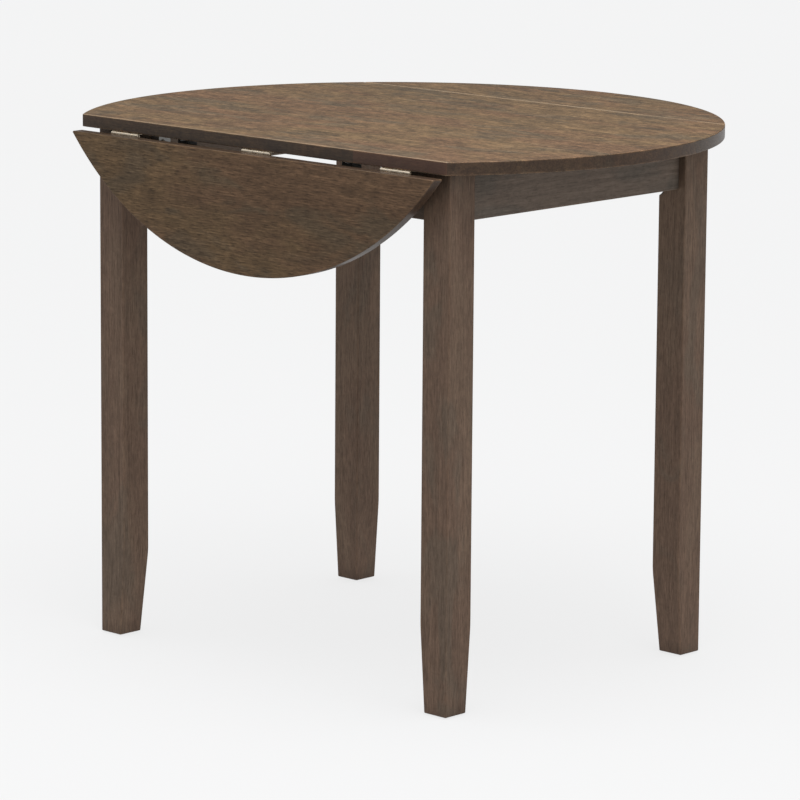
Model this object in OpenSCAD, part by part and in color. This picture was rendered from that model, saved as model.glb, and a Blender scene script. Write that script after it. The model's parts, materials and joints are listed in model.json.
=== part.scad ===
// Round dining table with two drop leaves.
// A fixed centre panel stands on a frame of four legs and four aprons. A leaf
// hangs on three butt hinges along each straight edge of the panel, and pull-out
// steel slides under the panel carry a leaf that is up. The front leaf (-Y) is
// drawn hanging and the rear leaf (+Y) is drawn up.
// +X runs along the hinge lines, +Z is up, and the floor is z = 0.

/* [Top] */
// Diameter of the round top with both leaves up
top_d = 914.4; // [880:0.1:950]
// Height of the top above the floor
table_h = 762; // [720:1:780]
// Thickness of the panel and leaves
top_t = 18; // [16:0.5:22]
// Width of the fixed panel between its hinge lines
panel_w = 575; // [560:1:600]
// Joint between the panel and a leaf that is up
leaf_gap = 1; // [0.8:0.1:1.5]
// Width of the small chamfers that ease the rim
rim_ease = 1; // [0.5:0.1:2]

/* [Legs] */
// Distance between the outer leg faces along the hinge lines
legs_x = 688; // [660:1:700]
// Distance between the outer leg faces across the hinge lines
legs_y = 532; // [520:1:540]
// Side of a square leg
leg_w = 49; // [44:1:54]
// Depth of the taper on each inner face at the foot
taper_d = 8.5; // [4:0.5:12]
// Height of the taper above the foot
taper_h = 120; // [80:1:180]
// Radius of the long edges of a leg
leg_edge_r = 2; // [1:0.5:4]

/* [Aprons] */
// Height of an apron
apron_h = 69.6; // [60:0.1:80]
// Thickness of an apron
apron_t = 18; // [15:1:20]
// Step from a leg's outer face in to the apron's outer face
apron_step = 12; // [8:1:14]
// Depth of the relief along the top edge of the front and rear aprons
relief_d = 15; // [12:1:20]
// Length of that relief
relief_w = 500; // [460:1:520]

/* [Hinges] */
// Distance from the middle hinge to each outer hinge
hinge_x = 265; // [240:1:275]
// Length of a hinge along its pin
hinge_w = 54; // [50:1:60]
// Reach of a hinge plate from the pin
hinge_reach = 28; // [24:1:32]
// Thickness of a hinge plate
plate_t = 1.5; // [1.2:0.1:1.8]
// Drop of the pin axis below the underside of the top
pin_drop = 3.5; // [3.4:0.1:3.8]
// Outer radius of the knuckles
knuckle_r = 3.2; // [2.9:0.1:3.2]
// Radius of the hinge pin
pin_r = 1.5; // [1.2:0.1:1.7]

/* [Slides] */
// Distance of each slide from the middle of the table
slide_x = 161; // [140:1:180]
// Width of a slide bar
bar_w = 12; // [10:1:14]
// Thickness of a slide bar
bar_t = 3; // [2.5:0.1:3]
// Length of a slide bar
bar_l = 252; // [240:1:255]
// How far a slide pulls out
slide_travel = 120; // [100:1:120]

/* [Hidden] */
$fn = 48;
eps = 0.5; // overshoot of a cut past the face it opens

walnut = "#55402f";
walnut_dark = "#46352a";
poplar = "#a98b66";
nickel = "#b9b3aa";
zinc = "#8d8f92";
gunmetal = "#3a3a39";
nylon = "#2c2a28";

// top
top_r = top_d / 2;
under_z = table_h - top_t;
panel_y = panel_w / 2;

// hinges
pin_y = panel_y + leaf_gap / 2;
pin_z = under_z - pin_drop;
leaf_y = panel_y + leaf_gap;
hinge_xs = [-hinge_x, 0, hinge_x];
knuckles = 5;
knuckle_pitch = hinge_w / knuckles;
knuckle_gap = 0.3;
running_gap = 0.05; // radial gap of a pin in a turning knuckle
notch_gap = 0.4; // room round a knuckle in the facing plate
hinge_screw_xs = [-19, 0, 19];
hinge_screw_y = 17;
hinge_screw_l = 13;

// the middle of the table, placed so that the whole outline is centred on the origin
hanging_y = pin_y + pin_drop + top_t;
table_y = -(top_r - hanging_y) / 2;

// legs and aprons
glide_t = 2;
glide_r = 14;
nail_r = 1.6;
nail_l = 14;
leg_x = legs_x / 2;
leg_y = legs_y / 2;
glide_x = leg_x - (leg_w - taper_d) / 2;
glide_y = leg_y - (leg_w - taper_d) / 2;
leg_in_x = leg_x - leg_w;
leg_in_y = leg_y - leg_w;
apron_z = under_z - apron_h;
apron_out_x = leg_x - apron_step;
apron_out_y = leg_y - apron_step;
apron_in_x = apron_out_x - apron_t;
apron_in_y = apron_out_y - apron_t;

// leg fixing: a bent steel plate across each corner, held by a hanger bolt
corner_chamfer = 10;
chamfer_side = corner_chamfer * sqrt(2);
chamfer_depth = corner_chamfer / sqrt(2);
chamfer_past = 4; // how far the flat of the chamfer runs below the apron
runout_r = 8; // radius of the round end of the chamfer
corner_t = 2;
corner_h = 40;
corner_z = apron_z + 9.6;
corner_flange = 30;
corner_reach = 50; // from a bend in the plate to the inner face of the other apron
corner_screw_l = 14;
// distance from a leg's chamfer to the plate
corner_gap = (leg_in_x + leg_in_y + corner_chamfer
              - (apron_in_x + apron_in_y - corner_reach)) / sqrt(2);
bolt_r = 3;
bolt_in_leg = 30;
bolt_past_plate = 20;
bolt_z = corner_z + corner_h / 2;
washer_t = 1.6;
washer_r = 8;
nut_h = 6;

// cleats that hold the top to the side aprons
cleat_w = 18;
cleat_l = 340;
cleat_screw_l = 30;

// wood screws
screw_r = 1.75;
head_r = 3.4;
head_h = 2;
tip_l = 4;
pan_r = 3.8;
pan_h = 2.2;

// slides and guides
slide_gap = 0.3;
tip_y = 276;
bar_z = under_z - slide_gap - bar_t;
guide_w = 20;
guide_front_y = 274.5;
guide_l = 18;
guide_h = 11.5;
ear_w = 44;
ear_l = 12;
ear_h = 5.8;
inner_guide_y = 158.5;
inner_guide_h = 7;
guide_screw_x = 15;
guide_screw_l = 14;
peg_r = 4;
peg_l = 12;
peg_tail = 4; // rivet end of the peg in the bar
peg_y = tip_y - bar_l + 10;

// ---- shared shapes ----

// moves a piece from the table's own middle to the part's origin
module on_table() { translate([0, table_y, 0]) children(); }

// turns a piece drawn for the rear leaf up into the front leaf hanging
module hanging() {
    translate([0, -pin_y, pin_z])
        rotate([90, 0, 0])
            translate([0, pin_y, -pin_z])
                mirror([0, 1, 0]) children();
}

// draws a piece of the front or rear half from one drawn at +Y
module at_side(side) { mirror([0, side < 0 ? 1 : 0, 0]) children(); }

// draws a piece of one corner from one drawn at +X, +Y
module at_corner(sx, sy) {
    mirror([sx < 0 ? 1 : 0, 0, 0])
        mirror([0, sy < 0 ? 1 : 0, 0]) children();
}

module all_corners() {
    for (sx = [-1, 1], sy = [-1, 1]) at_corner(sx, sy) children();
}

// a countersunk wood screw, head at z = 0, pointing up
module wood_screw(l) {
    rotate_extrude()
        polygon([[0, 0], [head_r, 0], [screw_r, head_h],
                 [screw_r, l - tip_l], [0, l]]);
}

// a pan-head screw, its head below z = 0 and its shank pointing up
module pan_screw(l) {
    rotate_extrude()
        polygon([[0, -pan_h], [pan_r * 0.7, -pan_h], [pan_r, -pan_h * 0.4],
                 [pan_r, 0], [screw_r, 0], [screw_r, l - tip_l], [0, l]]);
}

// ---- the top ----

// the whole round top, with an eased rim
module round_top() {
    e = rim_ease;
    translate([0, 0, under_z])
        rotate_extrude($fn = 360)
            polygon([[0, 0], [top_r - e, 0], [top_r, e], [top_r, top_t - e],
                     [top_r - e, top_t], [0, top_t]]);
}

// screws of the three hinges on the panel's rear edge
module panel_hinge_screws() {
    for (x = hinge_xs, dx = hinge_screw_xs)
        translate([x + dx, pin_y - hinge_screw_y, under_z - plate_t])
            wood_screw(hinge_screw_l);
}

// screws of the three hinges on the raised rear leaf
module leaf_hinge_screws() {
    for (x = hinge_xs, dx = hinge_screw_xs)
        translate([x + dx, pin_y + hinge_screw_y, under_z - plate_t])
            wood_screw(hinge_screw_l);
}

// screws that go up through the cleats into the panel
module cleat_top_screw_set() {
    for (sx = [-1, 1], y = [-130, 0, 130])
        translate([sx * (apron_in_x - cleat_w / 2), y, under_z - cleat_w])
            wood_screw(cleat_screw_l);
}

// screws that hold the four outer and four inner guides to the panel
module guide_screw_set() {
    outer_y = guide_front_y - guide_l - ear_l / 2;
    inner_y = inner_guide_y + guide_l / 2;
    for (sx = [-1, 1], sy = [-1, 1], dx = [-guide_screw_x, guide_screw_x]) {
        translate([sx * slide_x + dx, sy * outer_y, under_z - ear_h])
            wood_screw(guide_screw_l);
        translate([sx * slide_x + dx, sy * inner_y, under_z - inner_guide_h])
            wood_screw(guide_screw_l);
    }
}

module top_panel() {
    color(walnut) on_table() difference() {
        intersection() {
            round_top();
            translate([-top_d / 2 - 1, -panel_y, under_z - 1])
                cube([top_d + 2, panel_w, top_t + 2]);
        }
        for (side = [-1, 1]) at_side(side) panel_hinge_screws();
        cleat_top_screw_set();
        guide_screw_set();
    }
}

// the rear leaf, up
module leaf() {
    difference() {
        intersection() {
            round_top();
            translate([-top_d / 2 - 1, leaf_y, under_z - 1])
                cube([top_d + 2, top_r, top_t + 2]);
        }
        leaf_hinge_screws();
    }
}

module front_leaf_panel() { color(walnut) on_table() hanging() leaf(); }
module rear_leaf_panel() { color(walnut) on_table() leaf(); }

// ---- legs and aprons ----

module leg_outline() {
    r = leg_edge_r;
    translate([r, 0]) square([leg_w - 2 * r, leg_w]);
    translate([0, r]) square([leg_w, leg_w - 2 * r]);
    for (x = [r, leg_w - r], y = [r, leg_w - r])
        translate([x, y]) circle(r, $fn = 32);
}

// the slice that tapers one inner face, cut along a leg's full width
module taper_cut() {
    slope = taper_d / taper_h;
    rotate([90, 0, 90]) linear_extrude(leg_w + 2, center = true)
        polygon([[-1, -1], [taper_d + slope, -1], [0, taper_h], [-1, taper_h]]);
}

// the chamfer on a leg's inner edge; it runs out in a curve below the apron
module corner_cut() {
    end_z = apron_z - chamfer_past;
    translate([leg_in_x, leg_in_y, end_z]) rotate([0, 0, 45]) {
        translate([-chamfer_side / 2, -chamfer_side / 2, 0])
            cube([chamfer_side, chamfer_side, under_z - end_z + eps]);
        translate([chamfer_depth - runout_r, 0, 0]) rotate([90, 0, 0])
            cylinder(r = runout_r, h = chamfer_side, center = true);
    }
}

// hanger bolt of the +X, +Y corner; it points in at 45 degrees
module hanger_bolt() {
    flat = corner_chamfer / 2;
    l = bolt_in_leg + corner_gap + corner_t + bolt_past_plate;
    translate([leg_in_x + flat, leg_in_y + flat, bolt_z])
        rotate([0, 0, 225]) rotate([0, 90, 0])
            translate([0, 0, -bolt_in_leg]) cylinder(r = bolt_r, h = l);
}

module leg(sx, sy) {
    color(walnut_dark) on_table() at_corner(sx, sy) difference() {
        translate([leg_in_x, leg_in_y, glide_t])
            linear_extrude(under_z - glide_t) leg_outline();
        translate([leg_x - leg_w / 2, leg_in_y, glide_t]) taper_cut();
        translate([leg_in_x, leg_y - leg_w / 2, glide_t])
            mirror([1, -1, 0]) taper_cut();
        corner_cut();
        hanger_bolt();
        translate([glide_x, glide_y, glide_t - eps])
            cylinder(r = nail_r, h = nail_l + eps);
    }
}

// screws of the corner plate at the +X, +Y corner
module corner_screws() {
    along = corner_reach + corner_flange / 2;
    for (z = [bolt_z - 11, bolt_z + 11]) {
        translate([apron_in_x - corner_t, apron_in_y - along, z])
            rotate([0, 90, 0]) pan_screw(corner_screw_l);
        translate([apron_in_x - along, apron_in_y - corner_t, z])
            rotate([-90, 0, 0]) pan_screw(corner_screw_l);
    }
}

// an apron that runs along X behind the front or rear edge
module cross_apron(side) {
    color(walnut_dark) on_table() at_side(side) difference() {
        translate([-leg_in_x, apron_in_y, apron_z])
            cube([2 * leg_in_x, apron_t, apron_h]);
        translate([-relief_w / 2, apron_in_y - eps, under_z - relief_d])
            cube([relief_w, apron_t + 2 * eps, relief_d + eps]);
        for (sx = [-1, 1]) at_corner(sx, 1) corner_screws();
    }
}

// screws that hold a cleat to its side apron
module cleat_side_screw_set() {
    for (sx = [-1, 1], y = [-65, 65])
        translate([sx * (apron_in_x - cleat_w), y, under_z - cleat_w / 2])
            rotate([0, sx * 90, 0]) wood_screw(cleat_screw_l);
}

// an apron that runs along Y between the legs of one side
module side_apron(side) {
    color(walnut_dark) on_table() difference() {
        translate([side < 0 ? -apron_out_x : apron_in_x, -leg_in_y, apron_z])
            cube([apron_t, 2 * leg_in_y, apron_h]);
        all_corners() corner_screws();
        cleat_side_screw_set();
    }
}

module cleat(side) {
    color(poplar) on_table() difference() {
        translate([side < 0 ? -apron_in_x : apron_in_x - cleat_w,
                   -cleat_l / 2, under_z - cleat_w])
            cube([cleat_w, cleat_l, cleat_w]);
        cleat_top_screw_set();
        cleat_side_screw_set();
    }
}

module cleat_top_screws() { color(zinc) on_table() cleat_top_screw_set(); }
module cleat_side_screws() { color(zinc) on_table() cleat_side_screw_set(); }

// ---- leg fixings and feet ----

// a steel strip bent across the corner, with a flange on each apron
module corner_plate(sx, sy) {
    t = corner_t;
    reach = corner_reach;
    far = reach + corner_flange;
    bend = t * (sqrt(2) - 1); // shift of the inner bend line
    color(zinc) on_table() at_corner(sx, sy) difference() {
        translate([apron_in_x, apron_in_y, corner_z])
            linear_extrude(corner_h)
                polygon([[0, -far], [0, -reach], [-reach, 0], [-far, 0],
                         [-far, -t], [-reach - bend, -t],
                         [-t, -reach - bend], [-t, -far]]);
        hanger_bolt();
        corner_screws();
    }
}

module corner_plate_screws() {
    color(zinc) on_table() all_corners() corner_screws();
}

module hanger_bolts() { color(zinc) on_table() all_corners() hanger_bolt(); }

// places a piece on the bolt, against the inner face of the corner plate
module on_bolt(off) {
    flat = corner_chamfer / 2;
    translate([leg_in_x + flat, leg_in_y + flat, bolt_z])
        rotate([0, 0, 225]) rotate([0, 90, 0])
            translate([0, 0, corner_gap + corner_t + off]) children();
}

module hanger_washers() {
    color(zinc) on_table() all_corners() on_bolt(0) difference() {
        cylinder(r = washer_r, h = washer_t);
        translate([0, 0, -eps]) cylinder(r = bolt_r, h = washer_t + 2 * eps);
    }
}

module wing_nut() {
    wing_l = 13;
    wing_h = 11;
    difference() {
        union() {
            cylinder(r = 5, h = nut_h);
            for (s = [-1, 1])
                translate([0, 0, 2])
                    rotate([90, 0, s > 0 ? 0 : 180])
                        translate([0, 0, -1]) linear_extrude(2)
                            polygon([[3.5, 0], [8, 0], [wing_l, wing_h - 3],
                                     [wing_l - 3, wing_h], [3.5, nut_h - 2]]);
        }
        translate([0, 0, -eps]) cylinder(r = bolt_r, h = 2 * wing_h);
    }
}

module hanger_wing_nuts() {
    color(zinc) on_table() all_corners() on_bolt(washer_t) wing_nut();
}

// nylon glides, each nailed up into a foot
module foot_glides() {
    edge = 0.6;
    color(nylon) on_table() all_corners() translate([glide_x, glide_y, 0])
        rotate_extrude()
            polygon([[0, 0], [glide_r - edge, 0], [glide_r, edge],
                     [glide_r, glide_t], [nail_r, glide_t],
                     [nail_r, glide_t + nail_l], [0, glide_t + nail_l]]);
}

// ---- hinges ----

// x of the near end of a knuckle, counted from the hinge's left end
function knuckle_x(i) = -hinge_w / 2 + i * knuckle_pitch;

// one hinge plate about its pin, reaching towards +Y, its flat side up;
// knuckles 0, 2 and 4 belong to the panel, knuckles 1 and 3 to the leaf
module hinge_half(first, bore_r) {
    root = knuckle_r + notch_gap;
    knuckle_l = knuckle_pitch - knuckle_gap;
    difference() {
        union() {
            translate([-hinge_w / 2, root, pin_drop - plate_t])
                cube([hinge_w, hinge_reach - root, plate_t]);
            for (i = [first : 2 : knuckles - 1])
                translate([knuckle_x(i) + knuckle_gap / 2, 0, 0]) {
                    rotate([0, 90, 0]) cylinder(r = knuckle_r, h = knuckle_l);
                    translate([0, 0, pin_drop - plate_t])
                        cube([knuckle_l, root + eps, plate_t]);
                }
        }
        rotate([0, 90, 0]) cylinder(r = bore_r, h = hinge_w + 2, center = true);
        for (dx = hinge_screw_xs)
            translate([dx, hinge_screw_y, pin_drop - plate_t])
                wood_screw(hinge_screw_l);
    }
}

// the half fixed to the panel, for the rear edge, at hinge x
module panel_half(x) {
    translate([x, pin_y, pin_z]) mirror([0, 1, 0]) hinge_half(0, pin_r);
}

// the half fixed to the raised rear leaf, at hinge x
module leaf_half(x) {
    translate([x, pin_y, pin_z]) hinge_half(1, pin_r + running_gap);
}

module hinge_plate(x, side) { color(nickel) on_table() at_side(side) panel_half(x); }
module hanging_hinge_plate(x) { color(nickel) on_table() hanging() leaf_half(x); }
module raised_hinge_plate(x) { color(nickel) on_table() leaf_half(x); }

module hinge_pins(side) {
    color(nickel) on_table() at_side(side) for (x = hinge_xs)
        translate([x, pin_y, pin_z]) rotate([0, 90, 0])
            cylinder(r = pin_r, h = hinge_w, center = true);
}

module hinge_screws() {
    color(nickel) on_table()
        for (side = [-1, 1]) at_side(side) panel_hinge_screws();
}

module front_leaf_hinge_screws() {
    color(nickel) on_table() hanging() leaf_hinge_screws();
}

module rear_leaf_hinge_screws() { color(nickel) on_table() leaf_hinge_screws(); }

// ---- slides ----

// the channel that a bar runs in, from y to y + l
module slide_channel(y, l) {
    w = bar_w + 2 * slide_gap;
    translate([-w / 2, y - eps, bar_z - slide_gap])
        cube([w, l + 2 * eps, under_z - bar_z + slide_gap + eps]);
}

// the outer guide: a block near the panel's edge, with screwed ears behind it
module outer_guide(sx, sy) {
    back_y = guide_front_y - guide_l;
    color(gunmetal) on_table() at_corner(sx, sy) difference() {
        translate([slide_x, 0, 0]) difference() {
            union() {
                translate([-guide_w / 2, back_y, under_z - guide_h])
                    cube([guide_w, guide_l, guide_h]);
                translate([-ear_w / 2, back_y - ear_l, under_z - ear_h])
                    cube([ear_w, ear_l + eps, ear_h]);
            }
            slide_channel(back_y - ear_l, guide_l + ear_l);
        }
        guide_screw_set();
    }
}

// the inner guide: a plain block that also stops the peg
module inner_guide(sx, sy) {
    color(gunmetal) on_table() at_corner(sx, sy) difference() {
        translate([slide_x, 0, 0]) difference() {
            translate([-ear_w / 2, inner_guide_y, under_z - inner_guide_h])
                cube([ear_w, guide_l, inner_guide_h]);
            slide_channel(inner_guide_y, guide_l);
        }
        guide_screw_set();
    }
}

module guide_screws() { color(zinc) on_table() guide_screw_set(); }

// the bar, with a rounded outer tip
module slide_bar(sx, sy) {
    tip_r = bar_w / 2;
    color(zinc) on_table() at_corner(sx, sy) difference() {
        union() {
            translate([slide_x - bar_w / 2, tip_y - bar_l, bar_z])
                cube([bar_w, bar_l - tip_r, bar_t]);
            translate([slide_x, tip_y - tip_r, bar_z])
                cylinder(r = tip_r, h = bar_t);
        }
        translate([slide_x, peg_y, bar_z - eps])
            cylinder(r = peg_tail / 2, h = bar_t + 2 * eps);
    }
}

// the finger peg riveted into the inner end of a bar
module slide_peg(sx, sy) {
    edge = 1;
    color(nylon) on_table() at_corner(sx, sy) translate([slide_x, peg_y, bar_z])
        rotate_extrude()
            polygon([[0, -peg_l], [peg_r - edge, -peg_l], [peg_r, edge - peg_l],
                     [peg_r, 0], [peg_tail / 2, 0], [peg_tail / 2, bar_t],
                     [0, bar_t]]);
}

// ---- nodes ----

top_panel();
front_leaf_panel();
rear_leaf_panel();
leg(-1, -1);  // leg_front_left
leg(1, -1);  // leg_front_right
leg(-1, 1);  // leg_rear_left
leg(1, 1);  // leg_rear_right
cross_apron(-1);  // front_apron
cross_apron(1);  // rear_apron
side_apron(-1);  // left_apron
side_apron(1);  // right_apron
cleat(-1);  // left_cleat
cleat(1);  // right_cleat
cleat_top_screws();
cleat_side_screws();
corner_plate(-1, -1);  // corner_plate_front_left
corner_plate(1, -1);  // corner_plate_front_right
corner_plate(-1, 1);  // corner_plate_rear_left
corner_plate(1, 1);  // corner_plate_rear_right
corner_plate_screws();
hanger_bolts();
hanger_washers();
hanger_wing_nuts();
foot_glides();
hinge_plate(-hinge_x, -1);  // hinge_plate_front_left
hinge_plate(0, -1);  // hinge_plate_front_middle
hinge_plate(hinge_x, -1);  // hinge_plate_front_right
hinge_plate(-hinge_x, 1);  // hinge_plate_rear_left
hinge_plate(0, 1);  // hinge_plate_rear_middle
hinge_plate(hinge_x, 1);  // hinge_plate_rear_right
hanging_hinge_plate(-hinge_x);  // leaf_hinge_plate_front_left
hanging_hinge_plate(0);  // leaf_hinge_plate_front_middle
hanging_hinge_plate(hinge_x);  // leaf_hinge_plate_front_right
raised_hinge_plate(-hinge_x);  // leaf_hinge_plate_rear_left
raised_hinge_plate(0);  // leaf_hinge_plate_rear_middle
raised_hinge_plate(hinge_x);  // leaf_hinge_plate_rear_right
hinge_pins(-1);  // front_hinge_pins
hinge_pins(1);  // rear_hinge_pins
hinge_screws();
front_leaf_hinge_screws();
rear_leaf_hinge_screws();
outer_guide(-1, -1);  // outer_guide_front_left
outer_guide(1, -1);  // outer_guide_front_right
outer_guide(-1, 1);  // outer_guide_rear_left
outer_guide(1, 1);  // outer_guide_rear_right
inner_guide(-1, -1);  // inner_guide_front_left
inner_guide(1, -1);  // inner_guide_front_right
inner_guide(-1, 1);  // inner_guide_rear_left
inner_guide(1, 1);  // inner_guide_rear_right
guide_screws();
slide_bar(-1, -1);  // slide_bar_front_left
slide_bar(1, -1);  // slide_bar_front_right
slide_bar(-1, 1);  // slide_bar_rear_left
slide_bar(1, 1);  // slide_bar_rear_right
slide_peg(-1, -1);  // slide_peg_front_left
slide_peg(1, -1);  // slide_peg_front_right
slide_peg(-1, 1);  // slide_peg_rear_left
slide_peg(1, 1);  // slide_peg_rear_right
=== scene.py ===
"""The looks of a round dining table with two drop leaves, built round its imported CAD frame.

Every place and size comes from the frame, in metres: +X runs along the hinge lines, +Z is up
and the floor is z = 0. Each piece here is a finely shaped mesh that stands for one CAD node.
"""

import json
import math

import bmesh
import bpy
from mathutils import Matrix, Vector
from mathutils.geometry import tessellate_polygon

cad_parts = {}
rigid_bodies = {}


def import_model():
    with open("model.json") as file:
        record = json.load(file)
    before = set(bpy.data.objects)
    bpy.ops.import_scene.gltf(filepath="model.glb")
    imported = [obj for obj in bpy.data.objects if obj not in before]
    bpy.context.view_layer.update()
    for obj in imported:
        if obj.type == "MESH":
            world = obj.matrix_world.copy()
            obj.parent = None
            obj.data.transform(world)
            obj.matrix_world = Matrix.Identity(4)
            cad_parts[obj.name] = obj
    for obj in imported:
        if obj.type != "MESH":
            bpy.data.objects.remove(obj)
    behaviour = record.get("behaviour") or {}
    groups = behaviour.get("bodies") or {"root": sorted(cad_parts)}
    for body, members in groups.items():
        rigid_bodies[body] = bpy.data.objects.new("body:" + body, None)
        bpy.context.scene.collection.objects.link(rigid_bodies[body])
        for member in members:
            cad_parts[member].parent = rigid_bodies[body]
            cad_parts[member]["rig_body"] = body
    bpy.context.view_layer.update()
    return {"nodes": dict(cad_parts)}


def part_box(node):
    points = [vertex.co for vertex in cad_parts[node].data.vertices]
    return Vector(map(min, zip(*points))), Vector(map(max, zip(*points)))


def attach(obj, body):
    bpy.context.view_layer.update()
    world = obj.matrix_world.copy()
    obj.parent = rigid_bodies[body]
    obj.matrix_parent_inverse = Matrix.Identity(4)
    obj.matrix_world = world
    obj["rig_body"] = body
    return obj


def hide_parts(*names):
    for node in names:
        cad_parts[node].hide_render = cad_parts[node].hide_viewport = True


MM = 0.001
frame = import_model()

# ---- sizes read from the frame ----

top_lo, top_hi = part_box("top_panel")
MID_Y = (top_lo.y + top_hi.y) / 2  # y of the table's own middle
UNDER, TOP = top_lo.z, top_hi.z
PANEL_Y = top_hi.y - MID_Y
FRONT_Y = MID_Y - PANEL_Y  # y of the panel's front edge
RADIUS = max(
    math.hypot(v.co.x, v.co.y - MID_Y) for v in frame["nodes"]["top_panel"].data.vertices
)
LEAF_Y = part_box("rear_leaf_panel")[0].y - MID_Y
SEAM_Y = MID_Y + (PANEL_Y + LEAF_Y) / 2  # y of the seam between the panel and the raised leaf

pins_lo, pins_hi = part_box("rear_hinge_pins")
PIN_R = (pins_hi.z - pins_lo.z) / 2
PIN_Y = (pins_hi.y + pins_lo.y) / 2 - MID_Y
PIN_Z = (pins_hi.z + pins_lo.z) / 2

plate_lo, plate_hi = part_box("leaf_hinge_plate_rear_right")
HINGE_X = (plate_lo.x + plate_hi.x) / 2
HINGE_REACH = plate_hi.y - MID_Y - PIN_Y
HINGE_W = 2 * (pins_hi.x - HINGE_X)
KNUCKLE_R = PIN_Z - plate_lo.z
PIN_DROP = UNDER - PIN_Z

leg_lo, leg_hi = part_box("leg_rear_right")
LEG_X, LEG_Y = leg_hi.x, leg_hi.y - MID_Y
LEG_W = leg_hi.x - leg_lo.x
FOOT_Z = leg_lo.z
apron_lo, apron_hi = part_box("rear_apron")
APRON_Z = apron_lo.z
APRON_Y0, APRON_Y1 = apron_lo.y - MID_Y, apron_hi.y - MID_Y
side_lo, side_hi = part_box("right_apron")
APRON_X0, APRON_X1 = side_lo.x, side_hi.x
cleat_lo, cleat_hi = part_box("right_cleat")
corner_lo, corner_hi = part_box("corner_plate_rear_right")
guide_lo, guide_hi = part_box("outer_guide_rear_right")
inner_lo, inner_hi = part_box("inner_guide_rear_right")
bar_lo, bar_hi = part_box("slide_bar_rear_right")
peg_lo, peg_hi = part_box("slide_peg_rear_right")
GLIDE_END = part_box("foot_glides")[1].x
SLIDE_X = (bar_lo.x + bar_hi.x) / 2
LEG_IN_X, LEG_IN_Y = LEG_X - LEG_W, LEG_Y - LEG_W

# ---- sizes of the finer shapes ----

RIM_EASE = 1.3 * MM  # rounding of the top's rim
CORNER_R = 2 * MM  # rounding of the panel's four corners, in plan
TIP_R = 1.6 * MM  # rounding of a leaf's two tips, in plan
TAPER_D, TAPER_H = 8.5 * MM, 120 * MM  # a leg's taper at the foot
TAPER_BLEND = 9 * MM  # half the height over which the taper begins
LEG_R = 2 * MM  # rounding of a leg's long edges
FOOT_EASE = 1.5 * MM
INNER_EDGE, INNER_STEPS = 7.6 * MM, 14  # half the width that a leg's inner edge takes, and its points
CHAMFER = 10 * MM / math.sqrt(2)  # depth of the chamfer on a leg's inner edge
CHAMFER_END = APRON_Z - 4 * MM
RUNOUT_R = 8 * MM  # radius on which the chamfer runs out
RELIEF_W, RELIEF_D = 500 * MM, 15 * MM  # relief in the top edge of the long aprons
PLATE_T = 1.5 * MM
KNUCKLES = 5
KNUCKLE_GAP = 0.3 * MM
RUNNING_GAP = 0.05 * MM
HINGE_SCREW_Y = 17 * MM
HINGE_SCREW_X = 19 * MM
SCREW_R, HEAD_R, HEAD_H = 1.75 * MM, 3.4 * MM, 2 * MM
SCREW_TIP, SCREW_PITCH, SCREW_ROOT = 4 * MM, 1.3 * MM, 0.74  # the root is a share of the radius
PAN_R, PAN_H = 3.8 * MM, 2.2 * MM
HINGE_SCREW_L, CLEAT_SCREW_L, SHORT_SCREW_L = 13 * MM, 30 * MM, 14 * MM
CLEAT_TOP_SCREWS = (-130 * MM, 0, 130 * MM)  # along a cleat
CLEAT_SIDE_SCREWS = (-65 * MM, 65 * MM)
SLIDE_GAP = UNDER - bar_hi.z  # round a slide bar in its guides
STEEL_T = 2 * MM  # corner plates
BOLT_R = 3 * MM
BOLT_PITCH = 1 * MM
SMOOTH_ANGLE = 38  # faces that meet at more degrees than this make a sharp edge

# ---- places ----

ON_TABLE = Matrix.Translation((0, MID_Y, 0))
MIRROR_Y = Matrix.Diagonal((1, -1, 1, 1))
# turns a piece of the raised rear leaf into one of the hanging front leaf
HANGING = (
    Matrix.Translation((0, -PIN_Y, PIN_Z))
    @ Matrix.Rotation(math.pi / 2, 4, "X")
    @ Matrix.Translation((0, PIN_Y, -PIN_Z))
    @ MIRROR_Y
)
# swaps Y and Z, so that an outline stands upright and its depth runs along Y
UPRIGHT = Matrix(((1, 0, 0, 0), (0, 0, 1, 0), (0, 1, 0, 0), (0, 0, 0, 1)))
SIDES = {"front": -1, "rear": 1}
HANDS = {"left": -1, "right": 1}
X, Y, Z = 0, 1, 2  # the axes, as indices


def at_corner(sx, sy):
    """Places a piece drawn at +X, +Y in one of the four corners."""
    return ON_TABLE @ Matrix.Diagonal((sx, sy, 1, 1))


def move(x, y, z):
    return Matrix.Translation((x, y, z))


def turn(degrees, axis):
    return Matrix.Rotation(math.radians(degrees), 4, axis)


def direction(azimuth, elevation):
    """Points from the table to a far place, given by its angles in degrees. Azimuth 0 is -Y, 90 is +X."""
    a, e = math.radians(azimuth), math.radians(elevation)
    return Vector((math.sin(a) * math.cos(e), -math.cos(a) * math.cos(e), math.sin(e)))


def each_corner():
    """The name of each corner, and what places a piece there."""
    for side, sy in SIDES.items():
        for hand, sx in HANDS.items():
            yield f"{side}_{hand}", at_corner(sx, sy)


# ---- outlines, as lists of 2-D points that run anticlockwise ----


def arc(centre, radius, start, end, steps):
    """Points of an arc, its angles in degrees."""
    x, y = centre
    angles = [math.radians(start + (end - start) * i / steps) for i in range(steps + 1)]
    return [Vector((x + radius * math.cos(a), y + radius * math.sin(a))) for a in angles]


def circle(centre, radius, steps):
    return arc(centre, radius, 0, 360, steps)[:-1]


def box_outline(x0, y0, x1, y1):
    return [Vector((x0, y0)), Vector((x1, y0)), Vector((x1, y1)), Vector((x0, y1))]


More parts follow.
